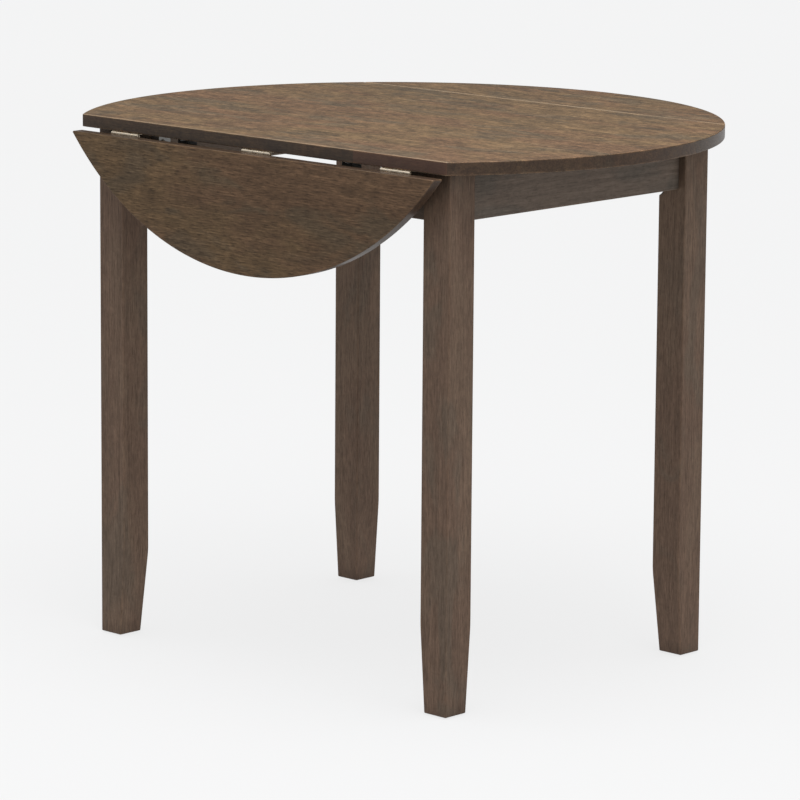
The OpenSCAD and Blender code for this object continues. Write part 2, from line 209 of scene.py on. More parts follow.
def soften(corners, radii, steps):
    """A closed outline with its corners rounded: radii is one radius, or one for each corner."""
    if not hasattr(radii, "__len__"):
        radii = [radii] * len(corners)
    points = []
    for i, r in enumerate(radii):
        b = corners[i]
        if not r:
            points.append(b)
            continue
        u = (corners[i - 1] - b).normalized()
        v = (corners[(i + 1) % len(corners)] - b).normalized()
        half = u.angle(v) / 2
        centre = b + (u + v).normalized() * (r / math.sin(half))
        first = b + u * (r / math.tan(half)) - centre
        last = b + v * (r / math.tan(half)) - centre
        start = math.atan2(first.y, first.x)
        sweep = (math.atan2(last.y, last.x) - start + math.pi) % (2 * math.pi) - math.pi
        points += arc(centre, r, math.degrees(start), math.degrees(start + sweep), steps)
    return points


def inset(outline, distance):
    """The outline moved inwards by a distance."""
    moved = []
    for i, b in enumerate(outline):
        before = (b - outline[i - 1]).normalized()
        after = (outline[(i + 1) % len(outline)] - b).normalized()
        n1, n2 = Vector((-before.y, before.x)), Vector((-after.y, after.x))
        moved.append(b + (n1 + n2) * (distance / (1 + n1.dot(n2))))
    return moved


# ---- shapes ----


class Shape:
    """A mesh in the making: rings of points joined by faces, each drawn through a matrix."""

    def __init__(self):
        self.bm = bmesh.new()
        self.matrix = Matrix.Identity(4)

    def at(self, matrix):
        self.matrix = matrix
        return self

    def ring(self, points):
        return [self.bm.verts.new(self.matrix @ Vector(p)) for p in points]

    def join(self, rings):
        for a, b in zip(rings, rings[1:]):
            for i in range(len(a)):
                j = (i + 1) % len(a)
                self.bm.faces.new((a[i], a[j], b[j], b[i]))

    def fill(self, ring, holes=()):
        """Closes a ring with one face, or with triangles where it has holes."""
        if not holes:
            self.bm.faces.new(ring)
            return
        loops = [ring, *holes]
        verts = [v for loop in loops for v in loop]
        for three in tessellate_polygon([[v.co for v in loop] for loop in loops]):
            self.bm.faces.new([verts[i] for i in three])

    def slab(self, outline, z0, z1, ease, holes=(), steps=4):
        """A plate with rounded edges. A hole is its centre and its radius at z0 and at z1."""
        quarter = [math.pi / 2 * k / steps for k in range(steps + 1)]
        rows = [(ease * 1.15, z0)]
        rows += [(ease - ease * math.sin(a), z0 + ease - ease * math.cos(a)) for a in quarter]
        rows += [(ease - ease * math.cos(a), z1 - ease + ease * math.sin(a)) for a in quarter]
        rows += [(ease * 1.15, z1)]
        rings = [self.ring([(p.x, p.y, z) for p in inset(outline, d)]) for d, z in rows]
        self.join(rings)
        ends = ([], [])
        for centre, r0, r1 in holes:
            pair = [
                self.ring([(p.x, p.y, z) for p in circle(centre, r, 20)])
                for r, z in ((r0, z0), (r1, z1))
            ]
            self.join(pair)
            ends[0].append(pair[0])
            ends[1].append(pair[1])
        self.fill(rings[0], ends[0])
        self.fill(rings[-1], ends[1])

    def lathe(self, profile, steps, bore=None, recess=None):
        """A turned piece about Z. profile is (radius, z) points; bore is the radius of a hole
        through it, and recess the reach of a cross-shaped recess in its first end."""
        if bore:
            profile = [(bore, profile[0][1]), *profile, (bore, profile[-1][1])]
        rings = [self.ring([(p.x, p.y, z) for p in circle((0, 0), r, steps)]) for r, z in profile]
        self.join(rings)
        if bore:
            self.join([rings[-1], rings[0]])
            return
        self.fill(rings[-1])
        if not recess:
            self.fill(rings[0])
            return
        z = profile[0][1]
        crosses = [
            self.ring([(p.x, p.y, z + depth) for p in cross_outline(reach)])
            for reach, depth in ((recess, 0), (recess * 0.55, recess * 0.75))
        ]
        self.join(crosses)
        self.fill(crosses[1])
        self.fill(rings[0], [crosses[0]])

    def block(self, lo, hi, ease):
        """A box with rounded edges."""
        outline = soften(box_outline(lo[0], lo[1], hi[0], hi[1]), ease * 1.25, 4)
        self.slab(outline, lo[2], hi[2], ease)

    def made(self, node, material, slot):
        """The finished piece: it stands for a CAD node and rides on that node's body."""
        bmesh.ops.recalc_face_normals(self.bm, faces=self.bm.faces)
        mesh = bpy.data.meshes.new(node + "_look")
        self.bm.to_mesh(mesh)
        self.bm.free()
        mesh.polygons.foreach_set("use_smooth", [True] * len(mesh.polygons))
        mesh.set_sharp_from_angle(angle=math.radians(SMOOTH_ANGLE))
        mesh.materials.append(material)
        piece = bpy.data.objects.new(node + "_look", mesh)
        bpy.context.scene.collection.objects.link(piece)
        even = piece.modifiers.new("even_normals", "WEIGHTED_NORMAL")
        even.keep_sharp = True
        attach(piece, frame["nodes"][node]["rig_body"])
        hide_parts(node)
        return piece


def cross_outline(reach):
    """The outline of a cross recess."""
    w = reach * 0.3
    arm = [Vector((w, w, 0)), Vector((w * 0.8, reach, 0)), Vector((-w * 0.8, reach, 0))]
    return [(turn(angle, "Z") @ p).to_2d() for angle in (0, 90, 180, 270) for p in arm]


def threaded_end(start, length):
    """Profile points of a screw's ridged shank from a height to its point."""
    root = SCREW_R * SCREW_ROOT
    rows = []
    for i in range(int((length - SCREW_TIP - start) / SCREW_PITCH)):
        z = start + i * SCREW_PITCH
        rows += [(root, z), (root, z + SCREW_PITCH * 0.4), (SCREW_R, z + SCREW_PITCH * 0.7)]
    return rows + [(root, length - SCREW_TIP), (0.15 * MM, length)]


def wood_screw(shape, length):
    """A countersunk wood screw with a slightly domed head at z = 0, pointing up."""
    dome = 0.3 * MM
    profile = [
        (HEAD_R * 0.72, -dome),
        (HEAD_R * 0.92, -dome * 0.55),
        (HEAD_R, 0.05 * MM),
        (HEAD_R * 0.98, 0.2 * MM),
        (SCREW_R, HEAD_H),
        (SCREW_R, HEAD_H + 1.5 * MM),
        *threaded_end(HEAD_H + 1.6 * MM, length),
    ]
    shape.lathe(profile, 20, recess=HEAD_R * 0.6)


def pan_screw(shape, length):
    """A pan-head screw: its head is below z = 0 and its shank points up."""
    profile = [
        (PAN_R * 0.66, -PAN_H),
        (PAN_R * 0.86, -PAN_H * 0.86),
        (PAN_R * 0.97, -PAN_H * 0.55),
        (PAN_R, -PAN_H * 0.3),
        (PAN_R * 0.99, -0.02 * MM),
        (SCREW_R, 0),
        *threaded_end(0.5 * MM, length),
    ]
    shape.lathe(profile, 20, recess=PAN_R * 0.58)


# ---- materials ----


def srgb(r, g, b):
    """A colour given as 0 to 255, as the shader's linear values."""
    def linear(c):
        c /= 255
        return c / 12.92 if c <= 0.04045 else ((c + 0.055) / 1.055) ** 2.4

    return (linear(r), linear(g), linear(b), 1.0)


PORE = srgb(36, 27, 20)
SIDE_STAIN = srgb(40, 27, 19)
SPLICE = srgb(104, 62, 48)
SANDED = srgb(160, 140, 116)
WORN_AND_HIGHLIGHT = srgb(150, 118, 88)
# lighter edge colour: rubbed edges, and a painted highlight along the arrises
DUST = srgb(96, 90, 84)
SPLICE_X = 185 * MM  # where the panel's front edge turns redder, and on to the right
RUB_FULL, RUB_END = 2 * MM, 4.5 * MM  # how far a sanded edge reaches
HOLLOW = 45 * MM  # reach of the shade in corners
SPLICE_BLEND = 0.3 * MM  # half the width over which it turns


class Finish:
    """A material in the making, with short names for the nodes that it uses."""

    def __init__(self, name):
        self.material = bpy.data.materials.new(name)
        self.material.use_nodes = True
        self.tree = self.material.node_tree
        self.shader = self.tree.nodes["Principled BSDF"]
        self.coord = self.tree.nodes.new("ShaderNodeTexCoord")
        self.place = self.coord.outputs["Object"]

    def node(self, kind, inputs=(), **settings):
        made = self.tree.nodes.new("ShaderNode" + kind)
        for key, value in settings.items():
            setattr(made, key, value)
        for key, value in dict(inputs).items():
            self.put(made.inputs[key], value)
        return made

    def put(self, socket, value):
        if isinstance(value, bpy.types.NodeSocket):
            self.tree.links.new(value, socket)
        else:
            socket.default_value = value

    def stretched(self, scale, shift=(0, 0, 0)):
        """The place, scaled along each axis and then shifted."""
        made = self.node("VectorMath", {0: self.place, 1: scale, 2: shift}, operation="MULTIPLY_ADD")
        return made.outputs[0]

    def noise(self, vector, detail=2.0, roughness=0.5, distortion=0.0):
        inputs = {"Vector": vector, "Scale": 1.0, "Detail": detail, "Roughness": roughness}
        return self.node("TexNoise", {**inputs, "Distortion": distortion}).outputs[0]

    def span(self, value, low, high, out_low=0.0, out_high=1.0, smooth=True):
        """Maps low..high to out_low..out_high."""
        limits = {"From Min": low, "From Max": high, "To Min": out_low, "To Max": out_high}
        kind = "SMOOTHSTEP" if smooth else "LINEAR"
        return self.node("MapRange", {"Value": value, **limits}, interpolation_type=kind).outputs[0]

    def math(self, operation, a, b=0.0, c=0.0):
        return self.node("Math", {0: a, 1: b, 2: c}, operation=operation).outputs[0]

    def mix(self, factor, a, b, blend="MIX"):
        made = self.node("Mix", {0: factor, 6: a, 7: b}, data_type="RGBA", blend_type=blend)
        return made.outputs[2]

    def scaled(self, colour, value):
        """A colour made lighter or darker by a value."""
        if isinstance(colour, tuple):
            colour = colour[:3]
        return self.node("VectorMath", {0: colour, "Scale": value}, operation="SCALE").outputs[0]

    def edges(self, distance):
        """1 at an outer edge, falling to 0 over a distance."""
        settings = {"samples": 6, "inside": True, "only_local": True}
        hidden = self.node("AmbientOcclusion", {"Distance": distance}, **settings)
        return self.span(hidden.outputs["AO"], 0.93, 0.45)

    def bump(self, height, distance, strength=1.0):
        made = self.node("Bump", {"Height": height, "Distance": distance, "Strength": strength})
        self.put(self.shader.inputs["Normal"], made.outputs[0])

    def set(self, **values):
        for key, value in values.items():
            self.put(self.shader.inputs[key.replace("_", " ")], value)


def grain_scale(grain, along, across):
    scale = [across] * 3
    scale[grain] = along
    return tuple(scale)


def wood(
    name, grain, colours, flat=None, seed=0.0,
    figure=1.0, speckle=1.0, nap=1.0, edge_wear_and_highlight=0.3, rubs=(), spliced=False,
):
    """Stained, satin-lacquered wood. grain is the axis that it runs along and flat the axis
    across a panel, whose edges are darker. Its patches drift from the first colour to the
    second, warm one and the third, cool one. figure, speckle and nap are the strengths of its
    larger patches, small spots and short fibres, and the one after them that of its lighter
    edges, partly rubbed and partly a painted highlight along the arrises. rubs
    holds the Y of each straight edge whose stain is sanded thin. The front edge of a spliced
    panel is made of two strips, and the right one is redder."""
    plain, warm, cool = colours
    f = Finish(name)
    shift = (seed, seed * 1.7, seed * 0.6)

    # patches of stain
    broad = f.noise(f.stretched(grain_scale(grain, 3.2, 8.0), shift), 3.0, 0.6, 0.4)
    second = f.noise(f.stretched(grain_scale(grain, 6.5, 16.0), (seed + 7, 3, 5)), 3.0, 0.6, 0.6)
    cloud = f.noise(f.stretched(grain_scale(grain, 15.0, 42.0), (2, seed + 4, 9)), 4.0, 0.62, 0.8)
    colour = f.mix(f.span(broad, 0.42, 0.60), plain, warm)
    colour = f.mix(f.span(second, 0.50, 0.64, 0.0, 0.85), colour, cool)
    clouding = f.span(cloud, 0.34, 0.66, 1 - 0.22 * figure, 1 + 0.24 * figure, False)
    colour = f.scaled(colour, clouding)

    # growth rings, spots, fibres and pores
    growth = f.noise(f.stretched(grain_scale(grain, 2.2, 95.0), shift), 4.0, 0.62, 1.2)
    colour = f.scaled(colour, f.span(growth, 0.3, 0.7, 0.85, 1.14, False))
    mottle = f.noise(f.stretched(grain_scale(grain, 92.0, 105.0), (5, 1, seed)), 3.0, 0.66, 0.9)
    spots = f.span(mottle, 0.36, 0.64, 1 - 0.24 * speckle, 1 + 0.26 * speckle, False)
    colour = f.scaled(colour, spots)
    fibre = f.noise(f.stretched(grain_scale(grain, 24.0, 430.0), (1, 2, seed)), 3.0, 0.6, 0.3)
    colour = f.scaled(colour, f.span(fibre, 0.34, 0.66, 1 - 0.14 * nap, 1 + 0.15 * nap, False))
    ticks = f.noise(f.stretched(grain_scale(grain, 62.0, 540.0), (8, 6, seed)), 2.0, 0.6, 0.25)
    colour = f.scaled(colour, f.span(ticks, 0.48, 0.34, 1.0, 1 + 0.26 * nap))
    pores = f.span(ticks, 0.54, 0.66)
    colour = f.mix(f.math("MULTIPLY", pores, 0.42 * nap), colour, PORE)

    # a panel's darker edges, and its sanded ones
    lacquer, level = 0.06, 1.0
    if flat is not None:
        facing = f.node("SeparateXYZ", {0: f.coord.outputs["Normal"]}).outputs[flat]
        side = f.span(f.math("ABSOLUTE", facing), 0.75, 0.2)
        level = f.math("SUBTRACT", 1.0, side)
        colour = f.mix(f.math("MULTIPLY", side, 0.72), colour, SIDE_STAIN)
        lacquer = f.math("MULTIPLY_ADD", side, 0.28, lacquer)
    place = f.node("SeparateXYZ", {0: f.place}).outputs
    if spliced:
        front = f.span(place[Y], FRONT_Y + 1.5 * MM, FRONT_Y + 0.7 * MM)
        right = f.span(place[X], SPLICE_X - SPLICE_BLEND, SPLICE_X + SPLICE_BLEND)
        strip = f.math("MULTIPLY", front, right)
        colour = f.mix(f.math("MULTIPLY", strip, 0.22), colour, SPLICE)
    for y in rubs:
        away = f.math("ABSOLUTE", f.math("SUBTRACT", place[Y], y))
        broken = f.math("MULTIPLY", f.span(growth, 0.35, 0.6, 0.15, 0.5), level)
        thin = f.math("MULTIPLY", f.span(away, RUB_END, RUB_FULL), broken)
        colour = f.mix(thin, colour, SANDED)

    # painted shade in the corners between pieces, and lighter edges, partly rubbed and partly a painted
    # highlight along the arrises
    hollow = f.node("AmbientOcclusion", {"Distance": HOLLOW}, samples=8).outputs["AO"]
    colour = f.scaled(colour, f.span(hollow, 0.30, 0.80, 0.52, 1.0, False))
    rubbed = f.span(f.noise(f.stretched((38, 38, 38), (seed, 4, 2)), 3.0), 0.46, 0.66)
    broken = f.math("MULTIPLY_ADD", rubbed, edge_wear_and_highlight, edge_wear_and_highlight / 6)
    colour = f.mix(f.math("MULTIPLY", f.edges(3.0 * MM), broken), colour, WORN_AND_HIGHLIGHT)

    grainy = f.math("ADD", cloud, f.math("MULTIPLY", fibre, 0.5))
    rough = f.span(grainy, 0.45, 1.05, 0.50, 0.64, False)
    f.set(Base_Color=colour, Roughness=rough, Coat_Weight=lacquer)
    f.set(Specular_IOR_Level=0.10, Coat_Roughness=0.2)
    f.bump(f.math("SUBTRACT", f.math("MULTIPLY", fibre, 0.5), pores), 0.06 * MM, 0.7)
    return f.material


def metal(name, colour, roughness, grain):
    """A metal with fine marks drawn out along the axis whose grain value is the smallest."""
    f = Finish(name)
    marks = f.noise(f.stretched(grain), 3.0, 0.6)
    cloudy = f.noise(f.stretched((55, 55, 55), (3, 1, 4)), 3.0, 0.6)
    tone = f.scaled(colour, f.span(marks, 0.3, 0.7, 0.88, 1.10, False))
    dull = f.math("MULTIPLY", f.span(cloudy, 0.45, 0.7), 0.25)
    tone = f.mix(dull, tone, DUST)
    brushed = f.span(marks, 0.3, 0.7, roughness - 0.07, roughness + 0.08, False)
    rough = f.math("ADD", brushed, f.math("MULTIPLY", dull, 0.3))
    f.set(Base_Color=tone, Roughness=rough, Metallic=1.0)
    f.bump(marks, 0.01 * MM, 0.6)
    return f.material


def zinc_plate(name):
    """Bright zinc plating, with the faint spangle and clouding that it has."""
    f = Finish(name)
    cells = f.node("TexVoronoi", {"Vector": f.place, "Scale": 420.0}).outputs["Color"]
    spangle = f.node("SeparateColor", {0: cells}).outputs[0]
    cloudy = f.noise(f.stretched((70, 70, 70), (2, 6, 1)), 3.0, 0.6)
    tone = f.mix(f.span(cloudy, 0.35, 0.68), srgb(136, 137, 137), srgb(160, 160, 156))
    tone = f.scaled(tone, f.span(spangle, 0, 1, 0.92, 1.06, False))
    bright = f.span(spangle, 0, 1, 0.38, 0.46, False)
    rough = f.math("ADD", bright, f.span(cloudy, 0.4, 0.7, 0.0, 0.12))
    f.set(Base_Color=tone, Roughness=rough, Metallic=1.0)
    f.bump(f.noise(f.stretched((1500, 1500, 1500)), 2.0), 0.01 * MM, 0.5)
    return f.material


def moulded(name, colour, light, roughness):
    """A dark moulded or painted surface with a fine grain, rubbed lighter at its edges."""
    f = Finish(name)
    fine = f.noise(f.stretched((1700, 1700, 1700)), 2.0, 0.6)
    cloudy = f.noise(f.stretched((60, 60, 60), (4, 4, 1)), 3.0)
    tone = f.mix(f.span(cloudy, 0.35, 0.7, 0.0, 0.5), colour, light)
    tone = f.mix(f.math("MULTIPLY", f.edges(0.8 * MM), 0.35), tone, light)
    rough = f.span(fine, 0.3, 0.7, roughness - 0.06, roughness + 0.08, False)
    f.set(Base_Color=tone, Roughness=rough, Specular_IOR_Level=0.4)
    f.bump(fine, 0.02 * MM, 0.6)
    return f.material


def make_finishes():
    """Every material of the table, by a short name."""
    veneer = (srgb(92, 73, 51), srgb(90, 68, 49), srgb(80, 67, 51))
    # the hanging front leaf: the top's veneer colours made darker, as painted shade
    shaded_veneer = (srgb(88, 70, 50), srgb(86, 66, 49), srgb(78, 65, 50))
    solid = (srgb(102, 84, 70), srgb(97, 78, 65), srgb(93, 79, 67))
    rail = (srgb(102, 90, 80), srgb(97, 84, 74), srgb(92, 84, 76))
    pine = (srgb(186, 152, 112), srgb(172, 134, 96), srgb(160, 134, 100))
    # the panels' stronger lighter edges are partly a painted highlight along their arrises
    level = {"flat": Z, "figure": 1.2, "speckle": 1.1, "nap": 1.3, "edge_wear_and_highlight": 0.5}
    hanging = {"flat": Y, "figure": 0.6, "speckle": 0.4, "nap": 1.3}
    quiet = {"figure": 0.3, "speckle": 0.3}
    return {
        "top": wood("top_veneer", X, veneer, rubs=(FRONT_Y, SEAM_Y), spliced=True, **level),
        "front_leaf": wood("front_leaf_veneer_shaded", X, shaded_veneer, seed=3.0, **hanging),
        "rear_leaf": wood("rear_leaf_veneer", X, veneer, rubs=(SEAM_Y,), **level),
        "leg": wood("leg_wood", Z, solid, seed=2.0, nap=0.6, **quiet),
        "long_apron": wood("long_apron_wood", X, rail, seed=5.0, nap=0.5, **quiet),
        "side_apron": wood("side_apron_wood", Y, rail, seed=8.0, nap=0.5, **quiet),
        "cleat": wood("cleat_wood", Y, pine, seed=4.0, figure=0.5, speckle=0.5, nap=0.4),
        "nickel": metal("satin_nickel", srgb(228, 213, 190), 0.27, (260, 2200, 2200)),
        "zinc": zinc_plate("bright_zinc"),
        "guide": moulded("gunmetal_guide", srgb(58, 58, 56), srgb(84, 84, 81), 0.42),
        "steel": metal("drawn_steel", srgb(168, 168, 170), 0.32, (2400, 130, 2400)),
        "nylon": moulded("black_nylon", srgb(32, 31, 30), srgb(52, 51, 50), 0.46),
    }


finish = make_finishes()

# ---- the top ----


def round_outline(y0, y1, corner_r):
    """The part of the round top between y0 and y1, with its corners rounded."""
    step = 0.5
    low = math.degrees(math.asin(y0 / RADIUS))
    high = math.degrees(math.asin(min(y1 / RADIUS, 1)))
    whole = y1 >= RADIUS
    if whole:
        points = arc((0, 0), RADIUS, low, 180 - low, round((180 - 2 * low) / step))
        return soften(points, [corner_r] + [0] * (len(points) - 2) + [corner_r], 6)
    side = arc((0, 0), RADIUS, low, high, round((high - low) / step))
    points = side + [Vector((-p.x, p.y)) for p in reversed(side)]
    flat = [0] * (len(side) - 2)
    return soften(points, [corner_r, *flat, corner_r, corner_r, *flat, corner_r], 6)


def make_top():
    panel = Shape().at(ON_TABLE)
    panel.slab(round_outline(-PANEL_Y, PANEL_Y, CORNER_R), UNDER, TOP, RIM_EASE, steps=6)
    panel.made("top_panel", finish["top"], "top_wood")
    leaf = round_outline(LEAF_Y, 2 * RADIUS, TIP_R)
    for name, place in (("front", ON_TABLE @ HANGING), ("rear", ON_TABLE)):
        shape = Shape().at(place)
        shape.slab(leaf, UNDER, TOP, RIM_EASE, steps=6)
        shape.made(name + "_leaf_panel", finish[name + "_leaf"], "leaf_wood")


# ---- legs and aprons ----


def taper_at(z):
    """How far a leg's inner faces stand in at a height above the foot, with a soft start."""
    slope = TAPER_D / TAPER_H
    d = (TAPER_H - z) / TAPER_BLEND
    if d <= -1:
        return 0.0
    if d >= 1:
        return slope * d * TAPER_BLEND
    return slope * TAPER_BLEND * (d + 1) ** 2 / 4


def chamfer_at(z):
    """Depth of the chamfer on a leg's inner edge, measured along the diagonal."""
    below = CHAMFER_END - z
    if below <= 0:
        return CHAMFER
    if below >= RUNOUT_R:
        return 0.0
    return max(0.0, CHAMFER - RUNOUT_R + math.sqrt(RUNOUT_R**2 - below**2))


def leg_section(z, shrink=0.0):
    """A leg's outline at a height; its inner corner is at (0, 0) and faces -X, -Y."""
    lo = taper_at(z - FOOT_Z) + shrink
    hi = LEG_W - shrink
    r = max(LEG_R - shrink, 0.5 * MM)
    root = math.sqrt(2)
    soft = 0.35 * MM
    depth = chamfer_at(z)
    inner = []
    for k in range(-INNER_STEPS, INNER_STEPS + 1):
        across = k / INNER_STEPS * INNER_EDGE
        bend = r / root
        edge = abs(across)
        if edge < bend:
            edge = r * root - math.sqrt(r * r - across * across)
        if depth > 0:
            gap = edge - depth
            edge = (edge + depth + math.sqrt(gap * gap + soft * soft)) / 2
        inner.append(Vector((lo + (edge + across) / root, lo + (edge - across) / root)))
    outer = soften(box_outline(lo, lo, hi, hi), [0, r, r, r], 6)[1:]
    return inner + outer


def leg_heights():
    """Where a leg has a ring of points: closest where its outline changes."""
    foot = [FOOT_Z + FOOT_EASE + 1 * MM]
    foot += [FOOT_Z + 8 * MM * i for i in range(1, 14)]
    bend = [FOOT_Z + TAPER_H + TAPER_BLEND * i / 6 for i in range(-7, 8)]
    plain = [0.3, 0.5, 0.62]
    end = [CHAMFER_END - RUNOUT_R * 1.05 * (1 - i / 12) for i in range(13)]
    return foot + bend + plain + end + [APRON_Z + 20 * MM, UNDER - 0.8 * MM]


def make_leg(side, hand):
    shape = Shape().at(at_corner(HANDS[hand], SIDES[side]) @ move(LEG_IN_X, LEG_IN_Y, 0))
    rings = []
    for k in range(6):
        a = math.pi / 2 * k / 5
        z = FOOT_Z + FOOT_EASE * (1 - math.cos(a))
        section = leg_section(z, FOOT_EASE * (1 - math.sin(a)))
        rings.append(shape.ring([(p.x, p.y, z) for p in section]))
    rings += [shape.ring([(p.x, p.y, z) for p in leg_section(z)]) for z in leg_heights()]
    rings.append(shape.ring([(p.x, p.y, UNDER) for p in leg_section(UNDER, 0.4 * MM)]))
    shape.join(rings)
    shape.fill(rings[0])
    shape.fill(rings[-1])
    shape.made(f"leg_{side}_{hand}", finish["leg"], "leg_wood")


def make_aprons():
    ease = 1 * MM
    relief = [(RELIEF_W / 2, UNDER), (RELIEF_W / 2, UNDER - RELIEF_D)]
    relief += [(-x, z) for x, z in reversed(relief)]
    below = [(-LEG_IN_X, APRON_Z), (LEG_IN_X, APRON_Z)]
    corners = [*below, (LEG_IN_X, UNDER), *relief, (-LEG_IN_X, UNDER)]
    outline = soften([Vector(c) for c in corners], ease * 1.25, 4)
    for side, s in SIDES.items():
        shape = Shape().at(at_corner(1, s) @ UPRIGHT)
        shape.slab(outline, APRON_Y0, APRON_Y1, ease)
        shape.made(side + "_apron", finish["long_apron"], "apron_wood")
    for hand, s in HANDS.items():
        shape = Shape().at(at_corner(s, 1))
        shape.block((APRON_X0, -LEG_IN_Y, APRON_Z), (APRON_X1, LEG_IN_Y, UNDER), ease)
        shape.made(hand + "_apron", finish["side_apron"], "apron_wood")
        shape = Shape().at(at_corner(s, 1))
        half = (cleat_hi.y - cleat_lo.y) / 2
        shape.block((cleat_lo.x, -half, cleat_lo.z), (cleat_hi.x, half, UNDER), ease)
        shape.made(hand + "_cleat", finish["cleat"], "cleat_wood")


def make_cleat_screws():
    x = (cleat_lo.x + cleat_hi.x) / 2
    shape = Shape()
    for s in (-1, 1):
        for y in CLEAT_TOP_SCREWS:
            wood_screw(shape.at(at_corner(s, 1) @ move(x, y, cleat_lo.z)), CLEAT_SCREW_L)
    shape.made("cleat_top_screws", finish["zinc"], "zinc_fixings")
    shape = Shape()
    z = (cleat_lo.z + UNDER) / 2
    for s in (-1, 1):
        for y in CLEAT_SIDE_SCREWS:
            shape.at(at_corner(s, 1) @ move(cleat_lo.x, y, z) @ turn(90, "Y"))
            wood_screw(shape, CLEAT_SCREW_L)
    shape.made("cleat_side_screws", finish["zinc"], "zinc_fixings")


# ---- leg fixings and feet ----

BOLT_Z = (corner_lo.z + corner_hi.z) / 2
CORNER_FAR = APRON_X0 - corner_lo.x  # from a side apron's inner face to the end of the other flange
CORNER_REACH = CORNER_FAR - 30 * MM
PLATE_SCREW = 15 * MM  # a corner plate's screws, from its bend
PLATE_SCREW_DZ = 11 * MM  # and from its middle height
FLAT_MID = CHAMFER / math.sqrt(2)  # middle of a leg's chamfer, from the leg's inner corner
BOLT_IN_LEG = 30 * MM
BOLT_PAST = 20 * MM
LEG_FLAT = LEG_IN_X + LEG_IN_Y + 2 * FLAT_MID  # x + y of that middle
PLATE_BACK = APRON_X0 + APRON_Y0 - CORNER_REACH  # x + y of a corner plate's back
CORNER_GAP = (LEG_FLAT - PLATE_BACK) / math.sqrt(2)
WASHER_R, WASHER_T = 8 * MM, 1.6 * MM
NUT_H = 6 * MM


def on_bolt(sx, sy, off):
    """Along a hanger bolt, off from the leg's chamfer, pointing into the table."""
    foot = move(LEG_IN_X + FLAT_MID, LEG_IN_Y + FLAT_MID, BOLT_Z)
    return at_corner(sx, sy) @ foot @ turn(225, "Z") @ turn(90, "Y") @ move(0, 0, off)


def make_corner_plates():
    t = STEEL_T
    shift = t * (math.sqrt(2) - 1)
    reach, far = CORNER_REACH, CORNER_FAR
    corners = [(0, -far), (0, -reach), (-reach, 0), (-far, 0), (-far, -t), (-reach - shift, -t)]
    corners += [(-t, -reach - shift), (-t, -far)]
    radii = [0.6 * MM, 3.5 * MM, 3.5 * MM, 0.6 * MM, 0.6 * MM, 1.5 * MM, 1.5 * MM, 0.6 * MM]
    outline = soften([Vector(c) for c in corners], radii, 6)
    for corner, place in each_corner():
        shape = Shape().at(place @ move(APRON_X0, APRON_Y0, 0))
        shape.slab(outline, corner_lo.z, corner_hi.z, 0.45 * MM)
        shape.made("corner_plate_" + corner, finish["zinc"], "zinc_fixings")


def threaded_rod(shape, z0, z1):
    """A rod with a helical thread from z0 to z1."""
    steps, rows = 24, 6
    depth = 0.3 * MM
    count = int((z1 - z0) / BOLT_PITCH * rows)
    rings = []
    for i in range(count + 1):
        z = z0 + (z1 - z0) * i / count
        points = []
        for k in range(steps):
            phase = (z / BOLT_PITCH - k / steps) % 1
            crest = abs(2 * phase - 1)
            fade = min(1, (z - z0) / BOLT_PITCH, (z1 - z) / BOLT_PITCH)
            r = BOLT_R - depth * (1 - crest * fade)
            a = 2 * math.pi * k / steps
            points.append((r * math.cos(a), r * math.sin(a), z))
        rings.append(shape.ring(points))
    shape.join(rings)
    shape.fill(rings[0])
    shape.fill(rings[-1])


def make_bolts():
    bolts, washers, nuts, screws = Shape(), Shape(), Shape(), Shape()
    nut_at = CORNER_GAP + STEEL_T + WASHER_T
    end = CORNER_GAP + STEEL_T + BOLT_PAST
    core = BOLT_R - 0.32 * MM
    buried = [(0.4 * MM, -BOLT_IN_LEG), (core, 3 * MM - BOLT_IN_LEG), (core, CORNER_GAP / 2)]
    edge = 0.25 * MM
    rim = [(WASHER_R - edge, 0), (WASHER_R, edge)]
    rim += [(WASHER_R, WASHER_T - edge), (WASHER_R - edge, WASHER_T)]
    along = CORNER_REACH + PLATE_SCREW
    for sx in (-1, 1):
        for sy in (-1, 1):
            bolts.at(on_bolt(sx, sy, 0)).lathe(buried, 24)
            threaded_rod(bolts, CORNER_GAP / 2, end)
            washers.at(on_bolt(sx, sy, CORNER_GAP + STEEL_T))
            washers.lathe(rim, 40, bore=BOLT_R + 0.05 * MM)
            wing_nut(nuts, on_bolt(sx, sy, nut_at))
            place = at_corner(sx, sy)
            for z in (BOLT_Z - PLATE_SCREW_DZ, BOLT_Z + PLATE_SCREW_DZ):
                screws.at(place @ move(APRON_X0 - STEEL_T, APRON_Y0 - along, z) @ turn(90, "Y"))
                pan_screw(screws, SHORT_SCREW_L)
                screws.at(place @ move(APRON_X0 - along, APRON_Y0 - STEEL_T, z) @ turn(-90, "X"))
                pan_screw(screws, SHORT_SCREW_L)
    bolts.made("hanger_bolts", finish["zinc"], "zinc_fixings")
    washers.made("hanger_washers", finish["zinc"], "zinc_fixings")
    nuts.made("hanger_wing_nuts", finish["zinc"], "zinc_fixings")
    screws.made("corner_plate_screws", finish["zinc"], "zinc_fixings")


